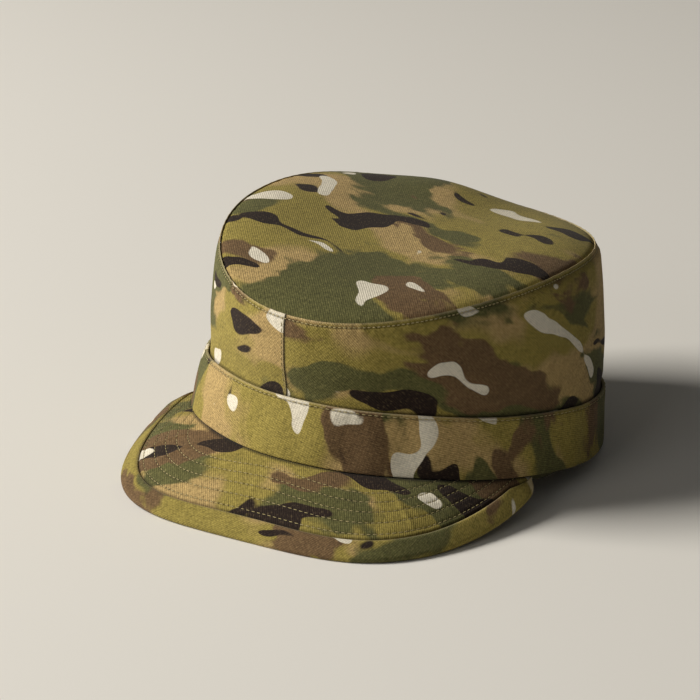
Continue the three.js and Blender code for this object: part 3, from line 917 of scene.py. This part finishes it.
def stitch_tree(material):
    """Stitches along lines: one bead of thread at each pitch, turned along the line and the cloth."""
    tree = bpy.data.node_groups.new("stitches", "GeometryNodeTree")
    tree.interface.new_socket("Geometry", in_out="INPUT", socket_type="NodeSocketGeometry")
    for name in ("Pitch", "Length", "Width", "Height"):
        tree.interface.new_socket(name, in_out="INPUT", socket_type="NodeSocketFloat")
    tree.interface.new_socket("Geometry", in_out="OUTPUT", socket_type="NodeSocketGeometry")
    given = tree.nodes.new("NodeGroupInput").outputs
    line = add_node(tree, "GeometryNodeMeshToCurve", {"Mesh": given["Geometry"]})
    spaced = add_node(tree, "GeometryNodeResampleCurve", {
        "Curve": line.outputs[0], "Length": given["Pitch"],
    }, mode="LENGTH")
    bead = add_node(tree, "GeometryNodeMeshUVSphere", {"Segments": 8, "Rings": 5, "Radius": 0.5})
    size = add_node(tree, "ShaderNodeCombineXYZ", {
        0: given["Length"], 1: given["Width"], 2: given["Height"],
    })
    shaped = add_node(tree, "GeometryNodeTransform", {
        "Geometry": bead.outputs[0], "Scale": size.outputs[0],
    })
    up = add_node(tree, "GeometryNodeInputNamedAttribute", {"Name": "up"}, data_type="FLOAT_VECTOR")
    tangent = tree.nodes.new("GeometryNodeInputTangent")
    ahead = add_node(tree, "FunctionNodeAlignRotationToVector", {"Vector": tangent.outputs[0]}, axis="X")
    upright = add_node(tree, "FunctionNodeAlignRotationToVector", {
        "Rotation": ahead.outputs[0], "Vector": up.outputs[0],
    }, axis="Z", pivot_axis="X")
    jitter = add_node(tree, "FunctionNodeRandomValue", {
        0: (0.9, 0.85, 0.85), 1: (1.08, 1.1, 1.1), "Seed": 4,
    }, data_type="FLOAT_VECTOR")
    placed = add_node(tree, "GeometryNodeInstanceOnPoints", {
        "Points": spaced.outputs[0], "Instance": shaped.outputs[0],
        "Rotation": upright.outputs[0], "Scale": jitter.outputs[0],
    })
    real = add_node(tree, "GeometryNodeRealizeInstances", {0: placed.outputs[0]})
    smoothed = add_node(tree, "GeometryNodeSetShadeSmooth", {0: real.outputs[0]})
    painted = add_node(tree, "GeometryNodeSetMaterial", {
        "Geometry": smoothed.outputs[0], "Material": material,
    })
    output = tree.nodes.new("NodeGroupOutput")
    tree.links.new(painted.outputs[0], output.inputs[0])
    return tree


thread = thread_material()
stitches = stitch_tree(thread)


def sew(name, lines, pitch=stitch_pitch, length=2.0 * mm, width=0.36 * mm):
    """Real stitches along lines, each a pair of points on the cloth and its outward directions."""
    points = np.concatenate([line for line, _ in lines])
    ups = np.concatenate([up for _, up in lines])
    edges = []
    start = 0
    for line, _ in lines:
        edges += [(start + step, start + step + 1) for step in range(len(line) - 1)]
        start += len(line)
    mesh = bpy.data.meshes.new(name + "_lines")
    mesh.from_pydata(points.tolist(), edges, [])
    mesh.attributes.new("up", "FLOAT_VECTOR", "POINT").data.foreach_set("vector", ups.ravel())
    row = bpy.data.objects.new(name, mesh)
    bpy.context.scene.collection.objects.link(row)
    modifier = row.modifiers.new("stitches", "NODES")
    modifier.node_group = stitches
    sizes = {"Pitch": pitch, "Length": length, "Width": width, "Height": thread_height}
    for socket in stitches.interface.items_tree:
        if socket.in_out == "INPUT" and socket.name in sizes:
            modifier[socket.identifier] = sizes[socket.name]
    evaluated = row.evaluated_get(bpy.context.evaluated_depsgraph_get())
    real = bpy.data.meshes.new_from_object(evaluated)
    row.modifiers.clear()
    row.data = real
    finish_piece(row, thread)


def outward_of(grid):
    """Outward directions of a grid of points, from its columns and rows."""
    sideways = np.gradient(grid, axis=0)
    upwards = np.gradient(grid, axis=1)
    normal = np.cross(sideways, upwards)
    return normal / np.maximum(np.linalg.norm(normal, axis=2, keepdims=True), 1e-12)


def follow(grid, distances, target):
    """The line of a grid at a given distance along its columns, with its outward directions."""
    normals = outward_of(grid)
    points = []
    ups = []
    for column in range(grid.shape[0]):
        reach = distances[column]
        if not reach[0] < target < reach[-1] - 0.2 * mm:
            continue
        place = np.interp(target, reach, np.arange(len(reach)))
        low = int(place)
        share = place - low
        points.append(grid[column, low] * (1 - share) + grid[column, low + 1] * share)
        ups.append(normals[column, low])
    return np.array(points), np.array(ups)


peak_lines = []
for row in range(stitch_row_count):
    distance = stitch_row_first + row * stitch_row_step
    for skin, side in ((peak_upper, 1), (peak_lower, -1)):
        points, ups = follow(skin, peak_distance, distance)
        peak_lines.append((points + side * ups * peak_thread_lift, side * ups))
sew("peak_stitches", peak_lines)


def row_below_edge(grid, drop):
    """The line that runs at a drop below the last row of a grid."""
    turned = grid[:, ::-1]
    steps = np.linalg.norm(np.diff(turned, axis=1), axis=2)
    distances = np.concatenate([np.zeros((len(grid), 1)), np.cumsum(steps, axis=1)], axis=1)
    points, inwards = follow(turned, distances, drop)
    return points - inwards * edge_thread_lift, -inwards


sew("band_stitches", [row_below_edge(band_outer, band_stitch_drop)])
ring_wall = wall_grid(np.linspace(-math.pi, math.pi, 721), wall_heights, 0)
seam_row = row_below_edge(ring_wall, crown_stitch_drop)
sew("crown_seam_stitches", [seam_row], pitch=2.1 * mm, length=1.5 * mm, width=0.5 * mm)


def upright_row(angle):
    """A line up the wall at an angle, from above the band to below the seam of the crown."""
    angles = angle + np.array([-1, 0, 1]) * math.radians(0.4)
    grid = wall_grid(angles, wall_heights, 0)
    keep = (wall_heights > 0.03) & (wall_heights < 0.95)
    ups = outward_of(grid)[1]
    return grid[1][keep] + ups[keep] * upright_thread_lift, ups[keep]


seam_angle = beside_seam / (cap_length / 2)
upright_rows = [upright_row(-seam_angle), upright_row(-math.pi + seam_angle)]
sew("upright_seam_stitches", upright_rows)

# Surface, light and camera
# A pale plain floor, one large soft lamp high on the left of the view, a weak one in front and a dim
# sky all round.
view_bearing = math.radians(31.45)
view_elevation = math.radians(20.7)
view_distance = 1.1805
view_centre = Vector((centre_x, centre_y - 20 * mm, 41.6 * mm))
view_aim = view_centre + Vector((-12.8 * mm, -4.5 * mm, 7.6 * mm))
focal_length = 132.6

camera_data = bpy.data.cameras.new("camera")
camera_data.lens = focal_length
camera_data.sensor_width = 36
camera_data.clip_end = 20
camera = bpy.data.objects.new("camera", camera_data)
back = Vector((math.sin(view_bearing) * math.cos(view_elevation),
               -math.cos(view_bearing) * math.cos(view_elevation),
               math.sin(view_elevation)))
camera.location = view_centre + back * view_distance
camera.rotation_euler = (view_aim - camera.location).to_track_quat("-Z", "Y").to_euler()
bpy.context.scene.collection.objects.link(camera)
bpy.context.scene.camera = camera

floor_half = 3.0
floor_mesh = bpy.data.meshes.new("floor")
floor_mesh.from_pydata([(-floor_half, -floor_half, 0), (floor_half, -floor_half, 0),
                        (floor_half, floor_half, 0), (-floor_half, floor_half, 0)], [], [(0, 1, 2, 3)])
floor = bpy.data.objects.new("floor", floor_mesh)
bpy.context.scene.collection.objects.link(floor)
floor_material = bpy.data.materials.new("floor")
floor_material.use_nodes = True
floor_shader = floor_material.node_tree.nodes["Principled BSDF"]
floor_shader.inputs["Base Color"].default_value = paint(232, 230, 226)
floor_shader.inputs["Roughness"].default_value = 0.8
floor_mesh.materials.append(floor_material)


def add_lamp(name, place, size, power, colour):
    """A square lamp that faces the cap."""
    lamp_data = bpy.data.lights.new(name, "AREA")
    lamp_data.shape = "SQUARE"
    lamp_data.size = size
    lamp_data.energy = power
    lamp_data.color = colour
    lamp = bpy.data.objects.new(name, lamp_data)
    lamp.location = place
    lamp.rotation_euler = (view_centre - Vector(place)).to_track_quat("-Z", "Y").to_euler()
    bpy.context.scene.collection.objects.link(lamp)


add_lamp("key", place=(-2.6, -1.55, 2.0), size=1.4, power=176, colour=(1.0, 0.955, 0.87))
add_lamp("fill", place=(-0.35, -2.4, 1.0), size=1.4, power=7, colour=(1.0, 0.97, 0.92))
sky = bpy.data.worlds.new("sky")
sky.use_nodes = True
sky_light = sky.node_tree.nodes["Background"]
sky_light.inputs["Color"].default_value = (1.0, 0.97, 0.9, 1)
sky_light.inputs["Strength"].default_value = 0.07
bpy.context.scene.world = sky
bpy.context.scene.view_settings.view_transform = "Standard"
